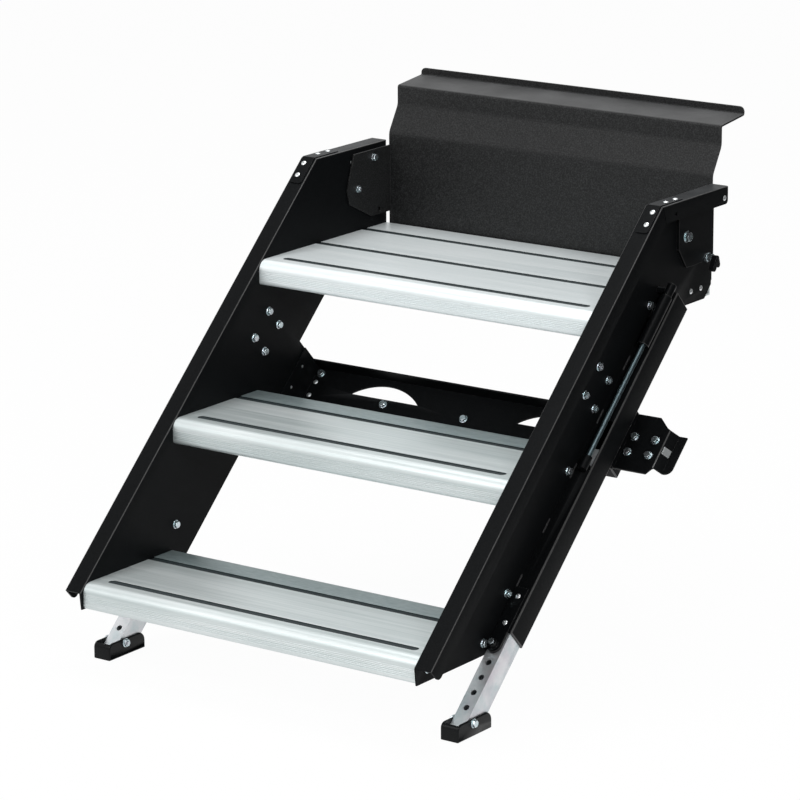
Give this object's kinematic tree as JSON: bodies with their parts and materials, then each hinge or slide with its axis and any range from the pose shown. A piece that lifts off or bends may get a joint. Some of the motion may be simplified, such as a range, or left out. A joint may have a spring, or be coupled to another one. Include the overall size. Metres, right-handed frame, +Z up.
{
  "type": "camper entry step",
  "caption": "Folding entry step for a camper door: aluminium treads between black stringers that swing on a door panel, with sliding legs and rocking feet.",
  "frame": {"origin": "centre of the doorway bolt pattern, on the back face of the header panel", "axes": "+Y goes into the camper, square to the header panel; +X to the right of a person facing the door; +Z up"},
  "size_m": [0.7876, 0.8751, 0.7805],
  "materials": {
    "powder_coat": "fine textured black powder coat",
    "black_plate": "black coated plate",
    "brushed_aluminium": "brushed mill finish extrusion",
    "zinc_tube": "bright zinc plate",
    "zinc_fastener": "bright zinc plate",
    "rod_steel": "ground steel",
    "bronze": "plain bronze",
    "strut_black": "satin black",
    "knob_black": "moulded black plastic",
    "foot_rubber": "black moulded rubber"
  },
  "bodies": {
    "root": {"header_panel": "powder_coat", "pivot_bolts": "zinc_fastener", "pivot_nuts": "zinc_fastener", "ear_screws": "zinc_fastener"},
    "latch_right": {"latch_pin_right": "rod_steel", "latch_knob_right": "knob_black"},
    "leg_right": {"leg_right": "zinc_tube", "strut_rod_right": "rod_steel", "strut_end_right": "strut_black", "foot_bolt_right": "zinc_fastener", "foot_nut_right": "zinc_fastener"},
    "lock_right": {"lock_pin_right": "zinc_fastener"},
    "foot_right": {"foot_right": "foot_rubber"},
    "latch_left": {"latch_pin_left": "rod_steel", "latch_knob_left": "knob_black"},
    "leg_left": {"leg_left": "zinc_tube", "strut_rod_left": "rod_steel", "strut_end_left": "strut_black", "foot_bolt_left": "zinc_fastener", "foot_nut_left": "zinc_fastener"},
    "lock_left": {"lock_pin_left": "zinc_fastener"},
    "foot_left": {"foot_left": "foot_rubber"},
    "frame": {"bottom_tread": "brushed_aluminium", "bumper_pads": "zinc_fastener", "cap_rivets": "zinc_fastener", "corner_cap_left": "powder_coat", "corner_cap_right": "powder_coat", "cross_bolts": "zinc_fastener", "cross_member": "powder_coat", "cross_nuts": "zinc_fastener", "cross_rivets": "zinc_fastener", "ear_bolts": "zinc_fastener", "ear_bracket_left": "powder_coat", "ear_bracket_right": "powder_coat", "ear_nuts": "zinc_fastener", "gusset_rivets": "zinc_fastener", "hand_rail_bolts": "zinc_fastener", "hand_rail_nuts": "zinc_fastener", "hinge_plate_left": "powder_coat", "hinge_plate_right": "powder_coat", "hinge_rivets": "zinc_fastener", "latch_barrels": "zinc_fastener", "latch_springs": "rod_steel", "lock_plate_left": "black_plate", "lock_plate_right": "black_plate", "lock_plate_rivets": "zinc_fastener", "lock_springs": "rod_steel", "middle_tread": "brushed_aluminium", "pivot_bushes": "bronze", "rail_left": "powder_coat", "rail_right": "powder_coat", "stringer_left": "powder_coat", "stringer_right": "powder_coat", "strut_body_left": "strut_black", "strut_body_right": "strut_black", "strut_mounts": "strut_black", "top_tread": "brushed_aluminium", "tread_bolts": "zinc_fastener", "web_rivets": "zinc_fastener"}
  },
  "joints": [
    {"name": "fold", "type": "hinge", "parent": "root", "child": "frame", "pos_m": [0, -0.09, 0.1475], "axis": [-1, 0, 0], "range_deg": [0, 130]},
    {"name": "latch_pull_right", "type": "slide", "parent": "frame", "child": "latch_right", "axis": [1, 0, 0], "range_m": [0, 0.006], "stiffness_N_per_m": 1500, "springref_m": -0.004},
    {"name": "leg_slide_right", "type": "slide", "parent": "frame", "child": "leg_right", "axis": [0, 0.7302, 0.6833], "range_m": [0, 0.0762]},
    {"name": "lock_pull_right", "type": "slide", "parent": "frame", "child": "lock_right", "axis": [0, -0.6833, 0.7302], "range_m": [0, 0.004], "stiffness_N_per_m": 1500, "springref_m": -0.003},
    {"name": "foot_rock_right", "type": "hinge", "parent": "leg_right", "child": "foot_right", "pos_m": [0.3175, -0.68531, -0.445], "axis": [1, 0, 0], "range_deg": [-15, 15]},
    {"name": "latch_pull_left", "type": "slide", "parent": "frame", "child": "latch_left", "axis": [-1, 0, 0], "range_m": [0, 0.006], "stiffness_N_per_m": 1500, "springref_m": -0.004},
    {"name": "leg_slide_left", "type": "slide", "parent": "frame", "child": "leg_left", "axis": [0, 0.7302, 0.6833], "range_m": [0, 0.0762]},
    {"name": "lock_pull_left", "type": "slide", "parent": "frame", "child": "lock_left", "axis": [0, -0.6833, 0.7302], "range_m": [0, 0.004], "stiffness_N_per_m": 1500, "springref_m": -0.003},
    {"name": "foot_rock_left", "type": "hinge", "parent": "leg_left", "child": "foot_left", "pos_m": [-0.3175, -0.68531, -0.445], "axis": [1, 0, 0], "range_deg": [-15, 15]}
  ]
}
